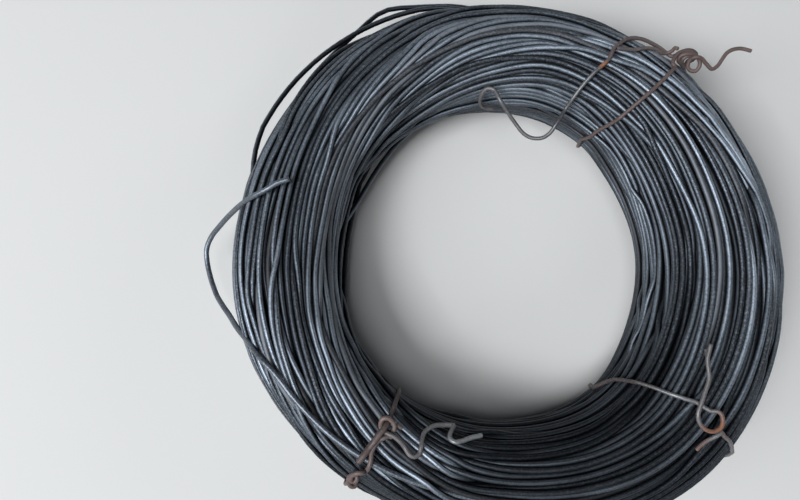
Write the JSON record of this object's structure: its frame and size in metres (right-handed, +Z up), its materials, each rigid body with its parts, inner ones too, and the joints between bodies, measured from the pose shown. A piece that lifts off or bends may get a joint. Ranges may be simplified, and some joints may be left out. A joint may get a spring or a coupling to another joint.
{
  "type": "coil of binding wire",
  "caption": "Coil of black annealed steel binding wire lying flat, its turns held together by hand-twisted wire ties with loose tails.",
  "frame": {"origin": "middle of the coil's eye, on the floor plane that the coil rests on", "axes": "+Z up, along the axis of the eye; +X and +Y are right and up in the picture"},
  "size_m": [0.2118, 0.2, 0.0568],
  "materials": {
    "annealed_wire": "black annealing scale with a dull sheen, dusty, a few brown strands",
    "tie_wire": "brown rust over dark scale, orange spots at the knots"
  },
  "bodies": {
    "root": {"wire_coil": "annealed_wire", "tie_upper_right": "tie_wire", "tie_lower_left": "tie_wire", "tie_lower_right": "tie_wire"}
  },
  "joints": []
}
